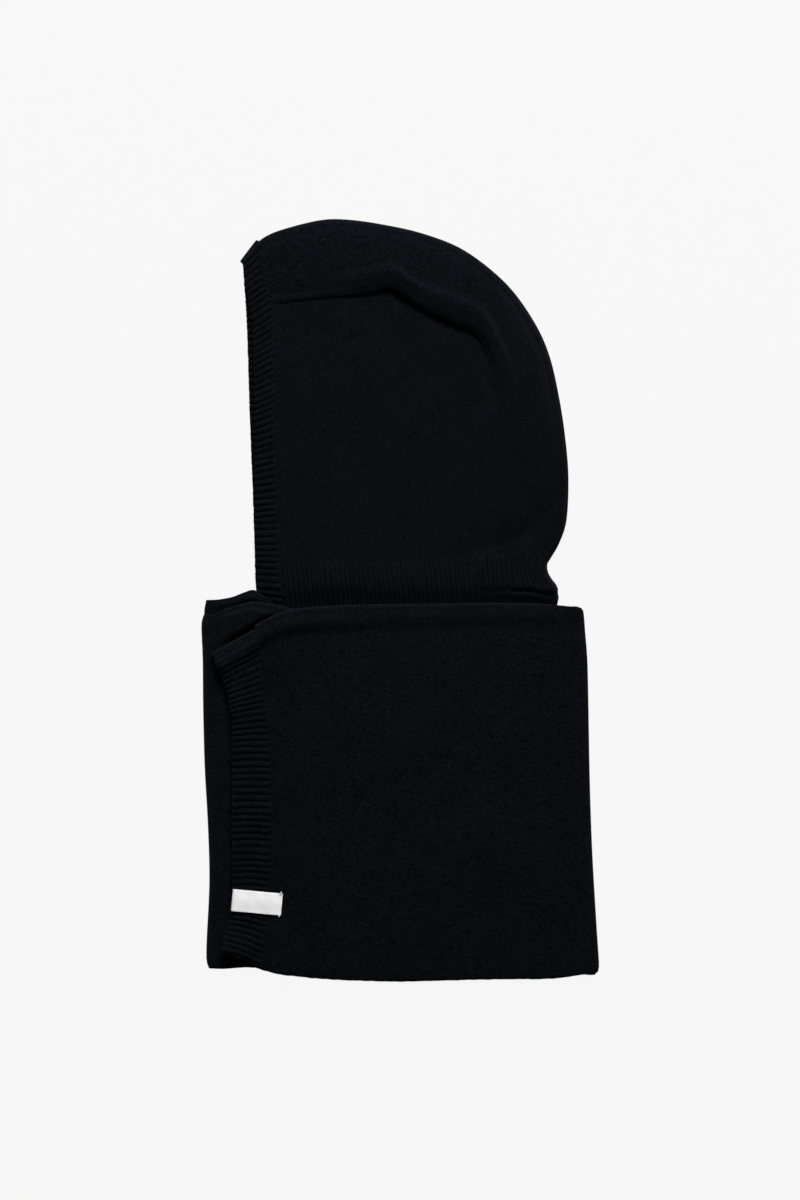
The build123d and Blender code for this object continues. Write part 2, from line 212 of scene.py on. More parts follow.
# how far the six outer and four inner points are puffed out, at fractions of the outline
CREST_ALONG = (
    (0, 0.10), (0.07, 0.12), (0.14, 0.26), (0.20, 0.62), (0.27, 1.0), (0.32, 0.86), (0.38, 1.0),
    (0.46, 0.95), (0.53, 0.74), (0.60, 0.48), (0.68, 0.22), (0.80, 0), (1, 0),
)
TUCK_ALONG = (
    (0, 0.30), (0.14, 0.40), (0.22, 0.62), (0.27, 1.0), (0.44, 0.9), (0.50, 0.66), (0.56, 0.3),
    (0.64, 0.06), (0.72, 0), (1, 0),
)
# soft rises and dents of the hood's upper side: x, y, half length, half width, turn, height
HOOD_MOUNDS = (
    (-101, 282, 8, 6, 60, -2.2),
    (80, 48, 30, 8, 16, -1.5),
    (112, 66, 24, 9, 50, -1.2),
    (92, 74, 26, 15, 25, 1.0),
    (20, 140, 90, 90, 0, 1.4),
)


# --- curves and grids ---
def unit(v):
    return v / np.maximum(np.linalg.norm(v, axis=-1, keepdims=True), 1e-9)


def spaced(line, fractions):
    """Points on a line at fractions of its length."""
    line = np.asarray(line, float)
    along = np.concatenate([[0], np.cumsum(np.linalg.norm(np.diff(line, axis=0), axis=1))])
    at = np.asarray(fractions) * along[-1]
    return np.stack([np.interp(at, along, line[:, k]) for k in range(line.shape[1])], axis=1)


def even(line, count):
    return spaced(line, np.linspace(0, 1, count))


def close_to_top(count):
    """Fractions from 0 to 1, of which the last 38 % lie in the last 7 %, at a rolled edge."""
    return np.interp(np.linspace(0, 1, count), (0, 0.62, 1), (0, 0.93, 1))


def through(values, count):
    """Smooth curves through rows of control values, each row one curve."""
    first, last = 2 * values[:, :1] - values[:, 1:2], 2 * values[:, -1:] - values[:, -2:-1]
    padded = np.concatenate([first, values, last], axis=1)
    t = np.linspace(0, values.shape[1] - 1 - 1e-9, count)
    whole = t.astype(int)
    t = t - whole
    a, b, c, d = (padded[:, whole + n] for n in range(4))
    cubic = (3 * b - a - 3 * c + d) * t**3 + (2 * a - 5 * b + 4 * c - d) * t**2
    return 0.5 * (2 * b + (c - a) * t + cubic)


def curve(points, count=500):
    """A smooth curve through points, as evenly spaced points."""
    points = np.asarray(points, float)
    return even(through(points.T, 24 * len(points)).T, count)


def patch(foot, top, left, right, v=None):
    """Points that fill four edge lines: foot and top run along u, left and right along v."""
    u = np.linspace(0, 1, len(foot))[:, None, None]
    v = (np.linspace(0, 1, len(left)) if v is None else v)[None, :, None]
    ruled = (1 - v) * foot[:, None] + v * top[:, None] + (1 - u) * left[None] + u * right[None]
    low_corners = (1 - u) * (1 - v) * foot[0] + u * (1 - v) * foot[-1]
    return ruled - (low_corners + (1 - u) * v * top[0] + u * v * top[-1])


def raised(plan, z):
    """Points in plan with a height, which is one number or one for each point."""
    height = np.broadcast_to(z, plan.shape[:-1])
    return np.concatenate([plan, height[..., None]], axis=-1)


def smooth_step(x, low, high):
    t = np.clip((x - low) / (high - low), 0, 1)
    return t * t * (3 - 2 * t)


def hump(x, middle, width):
    return np.exp(-(((x - middle) / width) ** 2))


def lengths(grid, axis):
    """Distance along a grid's lines from its first edge."""
    steps = np.linalg.norm(np.diff(grid, axis=axis), axis=-1)
    run = np.cumsum(steps, axis=axis)
    return np.concatenate([np.zeros_like(run.take([0], axis=axis)), run], axis=axis)


def to_end(grid, axis):
    """Distance along a grid's lines to its last edge."""
    run = lengths(grid, axis)
    return run.take([-1], axis=axis) - run


def beyond(plan, line):
    """Distance past a line, positive on the line's left."""
    line = even(line, 160)
    way = unit(np.gradient(line, axis=0))
    flat = plan.reshape(-1, 2)
    nearest = ((flat[:, None] - line[None]) ** 2).sum(-1).argmin(1)
    gap, way = flat - line[nearest], way[nearest]
    return (way[:, 0] * gap[:, 1] - way[:, 1] * gap[:, 0]).reshape(plan.shape[:-1])


def swell(plan, seed, size, height, waves=9):
    """Soft unevenness of cloth that lies loose: long waves in all directions, 0.55 to 1.8
    times the size long."""
    draw = np.random.default_rng(seed)
    total = np.zeros(plan.shape[:-1])
    for _ in range(waves):
        turn, phase, stretch = draw.uniform(0, 2 * math.pi, 3)
        length = size * (0.55 + 0.2 * stretch)
        across = plan[..., 0] * math.cos(turn) + plan[..., 1] * math.sin(turn)
        total += np.sin(across * 2 * math.pi / length + phase)
    return total * height / 3


def mound(plan, x, y, long, wide, turn, height):
    """One soft rise, or a dent where the height is negative."""
    c, s = math.cos(math.radians(turn)), math.sin(math.radians(turn))
    dx, dy = plan[..., 0] - x, plan[..., 1] - y
    return height * np.exp(-(((dx * c + dy * s) / long) ** 2) - ((dy * c - dx * s) / wide) ** 2)


def ribs(along, pitch, seed):
    """Round ribs from 0 in the groove to 1 on the crown of the rib, with uneven widths."""
    draw = np.random.default_rng(seed)
    knots = np.arange(-2 * pitch, along.max() + 3 * pitch, 2.3 * pitch)
    wander = np.interp(along, knots, draw.uniform(-RIB_WANDER, RIB_WANDER, len(knots)) * pitch)
    return np.abs(np.sin(math.pi * (along + wander) / pitch)) ** 0.7


def levelled(relief, level, share):
    """Ribs brought towards one level by a share from 0 to 1."""
    return relief + (level - relief) * share


# --- meshes ---
def mesh_object(name, points, faces, uv, groove=None):
    """A smooth-shaded object from points, faces, and one UV and groove depth for each point; the
    knit material paints shade where the groove depth is high.
    """
    mesh = bpy.data.meshes.new(name)
    mesh.from_pydata((points * MM).tolist(), [], faces)
    layer = mesh.uv_layers.new(name="knit")
    corner = np.zeros(len(mesh.loops), int)
    mesh.loops.foreach_get("vertex_index", corner)
    layer.data.foreach_set("uv", (uv[corner] * MM).astype(np.float32).ravel())
    if groove is not None:
        depth = mesh.attributes.new("groove", "FLOAT", "POINT")
        depth.data.foreach_set("value", groove.astype(np.float32))
    mesh.polygons.foreach_set("use_smooth", np.ones(len(mesh.polygons), bool))
    mesh.update()
    piece = bpy.data.objects.new(name, mesh)
    bpy.context.scene.collection.objects.link(piece)
    return piece


def belt(a, b):
    """Faces between closed rings of points, given by the points' numbers."""
    return np.stack([a, np.roll(a, -1, -1), np.roll(b, -1, -1), b], axis=-1).reshape(-1, 4)


def nap(roots, ways, draw):
    """Loose fibres that stand off the knit, as thin closed spikes of four points each."""
    count = len(roots)
    ways = unit(ways * 0.6 + draw.normal(0, 0.55, (count, 3))) * (1, 1, 0)
    ways = unit(ways + draw.uniform(0.05, 1.2, (count, 1)) * (0, 0, 1))
    a = unit(np.cross(ways, draw.normal(0, 1, (count, 3))))
    b = np.cross(ways, a)
    thirds = (0, 2 * math.pi / 3, 4 * math.pi / 3)
    corners = [roots + FIBRE * (math.cos(t) * a + math.sin(t) * b) for t in thirds]
    tips = roots + ways * draw.gamma(3.0, 0.4, (count, 1))
    first = np.arange(count)[:, None, None] * 4
    faces = first + np.array([[0, 1, 3], [1, 2, 3], [2, 0, 3], [0, 2, 1]])
    return np.stack([*corners, tips], axis=1).reshape(-1, 3), faces.reshape(-1, 3)


def border_of(rows, cols):
    """Row and column numbers of a grid's border points, once round."""
    last, end = rows - 1, cols - 1
    i = [np.zeros(cols, int), np.arange(1, rows), np.full(end, last), np.arange(last - 1, 0, -1)]
    j = [np.arange(cols), np.full(last, end), np.arange(end - 1, -1, -1), np.zeros(last - 1, int)]
    return np.concatenate(i), np.concatenate(j)


def cloth(name, grid, relief=None, height=0.0, thick=KNIT, wales="u", ragged=0.13, fibres=3000,
          nap_from=0.0):
    """A closed sheet of knit from its middle surface, with rounded rims.

    Its face is the side that u x v points to. Loose fibres stand on that side and on the rims,
    above the height nap_from. The columns of stitches run along the direction in wales."""
    rows, cols = grid.shape[:2]
    du, dv = np.gradient(grid, axis=0), np.gradient(grid, axis=1)
    face = unit(np.cross(du, dv))
    draw = np.random.default_rng(len(name) * 7 + rows)
    relief = np.broadcast_to(PLAIN if relief is None else relief, (rows, cols))
    rise = thick / 2 + height * (relief - PLAIN)
    high = (rise + draw.normal(0, 0.05 * ragged, (rows, cols)))[..., None]
    low = rise[..., None]

    i, j = border_of(rows, cols)
    out = np.zeros((rows, cols, 3))
    out[0] -= unit(du[0])
    out[-1] += unit(du[-1])
    out[:, 0] -= unit(dv[:, 0])
    out[:, -1] += unit(dv[:, -1])
    out = unit(out[i, j])
    fray = draw.normal(0, ragged, (len(i), 1))
    fray = (fray + np.roll(fray, 1, 0) + np.roll(fray, -1, 0)) / 1.7

    points = [(grid + face * high).reshape(-1, 3), (grid - face * low).reshape(-1, 3)]
    ways = [face.reshape(-1, 3), -face.reshape(-1, 3)]
    for angle in RIM_ANGLES:
        c, s = math.cos(math.radians(angle)), math.sin(math.radians(angle))
        lift = (high if s > 0 else low)[i, j] * s
        points.append(grid[i, j] + out * (c * (thick / 2 + fray)) + face[i, j] * lift)
        ways.append(out * c + face[i, j] * s)
    points, ways = np.vstack(points), np.vstack(ways)

    count, edge = rows * cols, len(i)
    index = np.arange(count).reshape(rows, cols)
    border = index[i, j]
    squares = [index[:-1, :-1], index[1:, :-1], index[1:, 1:], index[:-1, 1:]]
    top = np.stack(squares, axis=-1).reshape(-1, 4)
    rings = [2 * count + k * edge + np.arange(edge) for k in range(len(RIM_ANGLES))]
    rings = [border, *rings, count + border]
    rims = [belt(a, b) for a, b in zip(rings, rings[1:])]
    faces = np.vstack([top, count + top[:, ::-1], *rims]).tolist()

    owner = np.concatenate([index.ravel(), index.ravel(), *[border] * len(RIM_ANGLES)])
    uv = np.stack([lengths(grid, 0), lengths(grid, 1)], axis=-1)
    uv = (uv[..., ::-1] if wales == "u" else uv).reshape(-1, 2)[owner]
    # how deep each point lies in a rib's groove, which the knit material paints as shade
    groove_shade = (1 - smooth_step(relief, 0.0, 0.75)) * (height > 0)
    groove = groove_shade.ravel()[owner]

    on_rim = np.arange(2 * count, 2 * count + (len(RIM_ANGLES) - 1) * edge)
    open_side = np.concatenate([np.arange(count), np.repeat(on_rim, 2)])
    open_side = open_side[points[open_side, 2] > nap_from]
    roots = draw.choice(open_side, fibres)
    spikes, spike_faces = nap(points[roots], ways[roots], draw)
    faces += (spike_faces + len(points)).tolist()
    uv = np.vstack([uv, np.repeat(uv[roots], 4, axis=0)])
    groove = np.concatenate([groove, np.zeros(4 * fibres)])
    return mesh_object(name, np.vstack([points, spikes]), faces, uv, groove)


def stitched_line(name, line, radius, pitch, flat=0.75, around=10):
    """A linked seam: a soft cord along a line that swells once for each stitch."""
    line = np.asarray(line, float)
    total = np.linalg.norm(np.diff(line, axis=0), axis=1).sum()
    line = even(line, max(12, int(total / pitch * 6)))
    along = lengths(line[:, None], 0)[:, 0]
    way = unit(np.gradient(line, axis=0))
    side = unit(np.cross(way, (0, 0, 1.0)))
    up = np.cross(side, way)
    size = radius * (0.62 + 0.38 * np.abs(np.sin(math.pi * along / pitch)))
    size[0] = size[-1] = radius * 0.25
    turn = np.linspace(0, 2 * math.pi, around, endpoint=False)
    c, s = np.cos(turn)[None, :, None], np.sin(turn)[None, :, None]
    ring = side[:, None] * c + up[:, None] * s * flat
    points = (line[:, None] + ring * size[:, None, None]).reshape(-1, 3)
    index = np.arange(len(line) * around).reshape(-1, around)
    tube = belt(index[:-1], index[1:]).tolist()
    tube += [index[0][::-1].tolist(), index[-1].tolist()]
    girth, run = np.tile(turn * radius, (len(line), 1)), np.tile(along[:, None], (1, around))
    return mesh_object(name, points, tube, np.stack([girth, run], axis=-1).reshape(-1, 2))


def settle(piece, slot, nodes, body=None, bend=None):
    """Gives a piece its material, hides the CAD nodes it stands for, and parents it to its body,
    or, where bend is given, bakes its transform in place.
    """
    piece.data.materials.append(MATERIALS[slot])
    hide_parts(*nodes)
    if bend:
        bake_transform(piece)
    else:
        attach(piece, body)


def seam(node, line, radius, pitch, body="hood"):
    """A linked seam that stands for one CAD node."""
    settle(stitched_line(f"{node}_stitches", line, radius, pitch), "seam_knit", [node], body)


# --- materials ---
class Nodes:
    """Short calls for building one material's node tree."""

    def __init__(self, name):
        self.material = bpy.data.materials.new(name)
        self.material.use_nodes = True
        self.tree = self.material.node_tree
        self.shader = self.tree.nodes["Principled BSDF"]

    def add(self, kind, **values):
        node = self.tree.nodes.new(kind)
        for key, value in values.items():
            setattr(node, key, value)
        return node

    def join(self, source, target):
        self.tree.links.new(source, target)

    def preset(self, node, **values):
        """Sets a node's inputs; underscores stand for spaces in their names."""
        for key, value in values.items():
            node.inputs[key.replace("_", " ")].default_value = value

    def uv(self):
        return self.add("ShaderNodeUVMap", uv_map="knit").outputs["UV"]

    def place(self):
        return self.add("ShaderNodeTexCoord").outputs["Object"]

    def math(self, operation, a, b=None, clamp=False):
        node = self.add("ShaderNodeMath", operation=operation, use_clamp=clamp)
        for socket, value in zip(node.inputs, (a, b)):
            if value is None:
                continue
            if isinstance(value, (int, float)):
                socket.default_value = value
            else:
                self.join(value, socket)
        return node.outputs[0]

    def noise(self, vector, scale, detail=2.0, roughness=0.5):
        node = self.add("ShaderNodeTexNoise")
        self.preset(node, Scale=scale, Detail=detail, Roughness=roughness)
        self.join(vector, node.inputs["Vector"])
        return node.outputs["Fac"]

    def ramp(self, value, low, high, dark, light):
        """A colour between two, as the value goes from low to high."""
        node = self.add("ShaderNodeMapRange")
        self.preset(node, From_Min=low, From_Max=high)
        self.join(value, node.inputs["Value"])
        mix = self.add("ShaderNodeMix", data_type="RGBA")
        self.join(node.outputs["Result"], mix.inputs["Factor"])
        self.preset(mix, A=(*dark, 1), B=(*light, 1))
        return mix.outputs["Result"]

    def bump(self, height, strength, distance):
        """Shades the surface with a height whose full range is a distance in mm."""
        node = self.add("ShaderNodeBump")
        self.preset(node, Strength=strength, Distance=distance * MM)
        self.join(height, node.inputs["Height"])
        self.join(node.outputs["Normal"], self.shader.inputs["Normal"])


def stitch_height(n, uv):
    """Height of plain knit, columns of V stitches with slanting legs, and a number drawn for
    each stitch."""
    split = n.add("ShaderNodeSeparateXYZ")
    drift = n.add("ShaderNodeTexNoise")
    n.preset(drift, Scale=110)
    n.join(uv, drift.inputs["Vector"])
    pull = n.add("ShaderNodeVectorMath", operation="SCALE")
    n.preset(pull, Scale=STITCH_DRIFT * MM)
    n.join(drift.outputs["Color"], pull.inputs[0])
    pulled = n.add("ShaderNodeVectorMath", operation="ADD")
    n.join(uv, pulled.inputs[0])
    n.join(pull.outputs[0], pulled.inputs[1])
    n.join(pulled.outputs[0], split.inputs[0])
    across = n.math("DIVIDE", split.outputs["X"], WALE * MM)
    along = n.math("DIVIDE", split.outputs["Y"], COURSE * MM)
    from_middle = n.math("ABSOLUTE", n.math("SUBTRACT", n.math("FRACT", across), 0.5))
    off_leg = n.math("MULTIPLY", n.math("ABSOLUTE", n.math("SUBTRACT", from_middle, 0.25)), 4.0)
    leg = n.math("SUBTRACT", 1.0, n.math("POWER", off_leg, 2.0), clamp=True)
    slanted = n.math("ADD", along, n.math("MULTIPLY", from_middle, 1.5))
    bulge = n.math("SINE", n.math("MULTIPLY", n.math("FRACT", slanted), math.pi))
    height = n.math("MULTIPLY", leg, n.math("ADD", n.math("MULTIPLY", bulge, 0.7), 0.3))
    cell = n.add("ShaderNodeCombineXYZ")
    n.join(n.math("FLOOR", n.math("MULTIPLY", across, 2.0)), cell.inputs["X"])
    n.join(n.math("FLOOR", slanted), cell.inputs["Y"])
    drawn = n.add("ShaderNodeTexWhiteNoise", noise_dimensions="2D")
    n.join(cell.outputs[0], drawn.inputs["Vector"])
    return height, drawn.outputs["Value"]


def knit_material(slot, stitch=0.55, fuzz=0.6, sheen=0.012, gain=1.0):
    """Brushed black knit: V stitches, loose fibres, slightly heathered colour, a soft sheen, and
    painted shade and highlight from the stitches' height.
    """
    n = Nodes(slot)
    base = [c * gain * t for c, t in zip(SLOT_COLOURS[slot], COOL)]
    place = n.place()
    height, drawn = stitch_height(n, n.uv())
    fibre = n.noise(place, 1500, 3.0, 0.7)
    blot = n.noise(place, 420, 2.0, 0.6)
    patchy = n.noise(place, 30, 3.0, 0.55)
    # painted shade and highlight: the stitches' height darkens the colour in their gaps and
    # lightens it on their crowns; the noises added next are heathered colour
    shade_and_mottle = n.math("MULTIPLY", height, 0.40)
    for part, weight in ((drawn, 0.55), (fibre, 0.50), (blot, 0.95), (patchy, 0.30)):
        shade_and_mottle = n.math("ADD", shade_and_mottle, n.math("MULTIPLY", part, weight))
    # painted shade: the colour darkens in the rib grooves
    groove_shade = n.add("ShaderNodeAttribute", attribute_name="groove").outputs["Fac"]
    shade_and_mottle = n.math("SUBTRACT", shade_and_mottle, n.math("MULTIPLY", groove_shade, 0.6))
    dark, light = [c * KNIT_DARK for c in base], [c * KNIT_LIGHT for c in base]
    n.join(n.ramp(shade_and_mottle, 0.85, 1.95, dark, light), n.shader.inputs["Base Color"])
    rough = n.math("ADD", n.math("MULTIPLY", fibre, 0.25), 0.72, clamp=True)
    n.join(rough, n.shader.inputs["Roughness"])
    n.preset(n.shader, Specular_IOR_Level=0.02, Sheen_Weight=sheen, Sheen_Roughness=0.5)
    n.preset(n.shader, Sheen_Tint=(0.78, 0.88, 1.0, 1))
    n.bump(n.math("ADD", height, n.math("MULTIPLY", fibre, fuzz)), 1.0, stitch)
    return n.material


def label_material(slot):
    """White woven ribbon: a fine twill with a satin face."""
    n = Nodes(slot)
    base = [c * LABEL_SHADE for c in SLOT_COLOURS[slot]]
    split = n.add("ShaderNodeSeparateXYZ")
    n.join(n.uv(), split.inputs[0])
    warp = n.math("MULTIPLY", split.outputs["X"], 2 * math.pi / (0.34 * MM))
    weft = n.math("MULTIPLY", split.outputs["Y"], 2 * math.pi / (0.42 * MM))
    twill = n.math("MULTIPLY", n.math("SINE", n.math("ADD", warp, weft)), 0.5)
    height = n.math("ADD", twill, n.math("MULTIPLY", n.math("SINE", warp), 0.5))
    patchy = n.noise(n.place(), 120, 3.0)
    # painted shade: the twill's height darkens the colour where the weave dips; the patchy noise
    # is uneven colour
    shade_and_mottle = n.math("ADD", n.math("MULTIPLY", height, 0.12), patchy)
    dark, light = [c * 0.93 for c in base], [min(1, c * 1.08) for c in base]
    n.join(n.ramp(shade_and_mottle, 0.25, 0.75, dark, light), n.shader.inputs["Base Color"])
    rough = n.math("ADD", n.math("MULTIPLY", patchy, 0.2), 0.45)
    n.join(rough, n.shader.inputs["Roughness"])
    n.preset(n.shader, Sheen_Weight=0.15)
    n.bump(height, 0.5, 0.08)
    return n.material


def floor_material():
    """Pale studio paper, glowing enough that the piece throws only a faint shadow on it."""
    n = Nodes("pale_floor")
    grain = n.noise(n.place(), 60, 3.0)
    n.join(n.ramp(grain, 0.3, 0.7, [0.0115] * 3, [0.0125] * 3), n.shader.inputs["Base Color"])
    n.preset(n.shader, Roughness=1.0, Specular_IOR_Level=0.0)
    n.preset(n.shader, Emission_Color=(1, 1, 1, 1), Emission_Strength=FLOOR_GLOW)
    return n.material


MATERIALS = {
    "plain_knit": knit_material("plain_knit"),
    "rib_knit": knit_material("rib_knit", stitch=0.45, fuzz=0.5, gain=1.15),
    "seam_knit": knit_material("seam_knit", stitch=0.3, fuzz=0.7, gain=0.7),
    "woven_label": label_material("woven_label"),
    "label_thread": label_material("label_thread"),
}


# --- hood ---
def neck_line(x):
    """Height in plan of the line where the hood is linked to the neck band."""
    line = curve(NECK_TOP)
    return np.interp(x, line[:, 0], line[:, 1])


def hood_swell(plan):
    """What the upper side of the hood and its neck band do besides lying flat."""
    z = swell(plan, 3, 120, 0.3)
    for shape in HOOD_MOUNDS:
        z = z + mound(plan, *shape)
    return z


def below_neck(plan):
    return np.maximum(neck_line(plan[..., 0]) - plan[..., 1], 0)


def hood_panels():
    """The two plain side panels, inside the crown seam."""
    cols, rows = 140, 170
    edge = curve(CROWN_SEAM, 600)
    outward = unit(np.stack([-np.gradient(edge[:, 1]), np.gradient(edge[:, 0])], axis=1))
    edge = edge + outward * PANEL_TUCK
    bend = np.array(CROWN_SEAM[SEAM_CORNER]) + 0.8 * PANEL_TUCK
    corner = int(np.argmin(np.linalg.norm(edge - bend, axis=1)))
    top, back = even(edge[: corner + 1], cols), even(edge[corner:][::-1], rows)
    foot = even(PANEL_FOOT, cols)
    foot[-1] = back[0]
    front = even([*PANEL_FRONT, top[0]], rows)
    plan = patch(foot, top, front, back)
    outside = np.maximum(beyond(plan, curve(CROWN_SEAM)), 0)
    z = HOOD_TOP + hood_swell(plan) - CROSSING * (outside + below_neck(plan))
    left = cloth("hood_left_panel_cloth", raised(plan, z), wales="v", fibres=6000)
    settle(left, "plain_knit", ["hood_left_panel"], body="hood")
    under = RIGHT_Z + 0.15 + np.abs(swell(plan, 5, 140, 0.1))
    right = cloth("hood_right_panel_cloth", raised(plan, under)[::-1], wales="v", fibres=1)
    settle(right, "plain_knit", ["hood_right_panel"], body="hood")


def along_crown(knots, along):
    """A strength from 0 to 1 that varies smoothly along the crown's outline."""
    share = np.interp(along, *zip(*knots))
    window = np.hanning(25) / np.hanning(25).sum()
    return np.convolve(np.pad(share, 12, mode="edge"), window, "valid")[:, None]


def crown_profile(along, deep, count):
    """Distance from the seam and height of the strip's upper side, for each row."""
    column = np.ones((len(along), 1))
    wave = 1 + 0.16 * np.sin(along * 31 + 1.2)[:, None]
    to_turn = [deep * share for share in WIDTH_SHARES]
    puffed = [column * q for q in PUFFED_UNDER] + [wave * q for q in PUFFED_OVER] + to_turn
    flat = [column * q for q in FLAT_FROM_SEAM] + to_turn
    tuck, crest = along_crown(TUCK_ALONG, along), along_crown(CREST_ALONG, along)
    a = np.hstack([tuck] * len(PUFFED_UNDER) + [crest] * (len(PUFFED_OVER) + len(to_turn)))
    to_nape = 1 - smooth_step(along, 0.72, 0.92)[:, None]
    flat_z = np.array([FLAT_Z]) + to_nape * np.array([FLAT_PUFF_Z])
    q = through(np.hstack(puffed) * a + np.hstack(flat) * (1 - a), count)
    return q, through(np.array([PUFFED_Z]) * a + flat_z * (1 - a), count)


def crown():
    """The strip over the crown and down the back of the head."""
    rows, near, bend, far = 360, 74, 16, 26
    outline, sewn = even(curve(CROWN_OUTLINE, 900), rows), even(curve(CROWN_SEAM, 900), rows)
    way = unit(np.gradient(outline, axis=0))
    outward = np.stack([-way[:, 1], way[:, 0]], axis=1)
    along = np.linspace(0, 1, rows)
    slimmer = 1 - 0.22 * (1 - smooth_step(along, 0, 0.04)) - 0.25 * smooth_step(along, 0.93, 1)
    radius = (HOOD_TOP - RIGHT_Z) / 2 * slimmer[:, None]
    inner = outline - outward * (radius + KNIT / 2)
    deep = np.linalg.norm(inner - sewn, axis=1)[:, None]

    q, over_hood = crown_profile(along, deep, near)
    plan = sewn[:, None] + unit(inner - sewn)[:, None] * q[..., None]
    tucked = 1.3 * (1 - smooth_step(along, 0.0, 0.035))[:, None]
    z = HOOD_TOP + over_hood + hood_swell(plan) * smooth_step(deep - q, 0, 10)
    z = z - CROSSING * below_neck(plan) - tucked

    turn = np.linspace(0, math.pi, bend + 2)[None, 1:-1]
    arc = inner[:, None] + outward[:, None] * (radius * 1.15 * np.sin(turn))[..., None]
    foot_z = np.full((rows, 1), RIGHT_Z + 0.05)
    half = (z[:, -1:] - foot_z) / 2
    share = np.linspace(0, 1, far)[None, :, None]
    back = inner[:, None] * (1 - share) + sewn[:, None] * share
    arc_z = foot_z + half + half * np.cos(turn)
    layers = [raised(plan, z), raised(arc, arc_z), raised(back, foot_z)]
    piece = cloth("crown_cloth", np.concatenate(layers, axis=1), fibres=4500)
    settle(piece, "plain_knit", ["crown_panel"], body="hood")

    upper_z = HOOD_TOP + 0.55 + hood_swell(sewn) - CROSSING * below_neck(sewn)
    for side, height, radius in (("left", upper_z, 0.6), ("right", RIGHT_Z, 0.9)):
        seam(f"crown_seam_{side}", raised(sewn, height)[8:-8], radius, 2.4)


def face_band():
    """The ribbed band up the left side of the face, over the forehead and down the right side."""
    per_side, over, cols = 560, 26, 14
    edge_left, edge_right = curve(BAND_EDGE, per_side), curve(BAND_EDGE_RIGHT, per_side)
    inner = curve(BAND_INNER, per_side)
    top_z, foot_z = HOOD_TOP + 0.35, RIGHT_Z + 0.55
    brow = unit(inner[-1] - edge_left[-1])
    outward = np.array([-brow[1], brow[0]])
    turn = np.linspace(0, math.pi, over)[1:-1]
    hang = outward * (6.0 * np.sin(turn))[:, None]
    outer_line = np.vstack([edge_left, edge_left[-1] + hang * 0.35, edge_right[::-1]])
    inner_line = np.vstack([inner, inner[-1] + hang, inner[::-1]])
    arc_z = (top_z + foot_z) / 2 + (top_z - foot_z) / 2 * np.cos(turn)
    z_line = np.concatenate([np.full(per_side, top_z), arc_z, np.full(per_side, foot_z)])
    v = np.linspace(0, 1, cols)[None]
    plan = inner_line[:, None] * (1 - v[..., None]) + outer_line[:, None] * v[..., None]

    # the near run: thicker in the middle, its edge rolled under, its foot tucked into the neck
    upper = smooth_step(z_line, foot_z, top_z)[:, None]
    edges = 1.1 * smooth_step(v, 0.7, 1.0), 0.5 * (1 - smooth_step(v, 0, 0.2))
    rolled = 0.7 * hump(v, 0.55, 0.35) - edges[0] - edges[1]
    drop = -3.0 * (1 - smooth_step(plan[..., 1], -8, 14))
    z = z_line[:, None] + (rolled + drop + hood_swell(plan)) * upper
    # the far run: its edge stands up beside the near one
    beside = smooth_step(plan[..., 1], 5, 50) * (1 - smooth_step(plan[..., 1], 245, 275))
    z = np.maximum(z, foot_z) + 3.4 * smooth_step(v, 0.3, 0.9) * (1 - upper) * beside
    grid = raised(plan, z)

    along = lengths(grid, 0).mean(axis=1, keepdims=True)
    relief = ribs(along, BAND_PITCH, 11)
    relief = levelled(relief, 0.75, 0.5 * (1 - smooth_step(v, 0.0, 0.16)))
    piece = cloth("face_band_ribs", grid, relief, RIB_HEIGHT, wales="v")
    settle(piece, "rib_knit", ["face_band"], body="hood")
    for side, height in (("left", HOOD_TOP + 0.45), ("right", RIGHT_Z)):
        line = raised(inner + (0.9, 0), height)
        if side == "left":
            line[:, 2] += hood_swell(line) + np.minimum(line[:, 1] / 6, 0)
        seam(f"face_seam_{side}", line[20:-6], 0.75, 2.1)


def neck_folds(plan):
    """The soft folds that climb across the neck band's right end."""
    x, y = plan[..., 0], plan[..., 1]
    climb = y + 0.05 * (x - 125) + 0.9 * np.sin(x / 9) + 0.5 * np.sin(x / 3.7)
    folds = 1.1 * hump(climb, 9.6, 2.6) - 1.2 * hump(climb, 6.0, 1.2) + 1.0 * hump(climb, 3.0, 2.4)
    return folds * smooth_step(x, 55, 112)


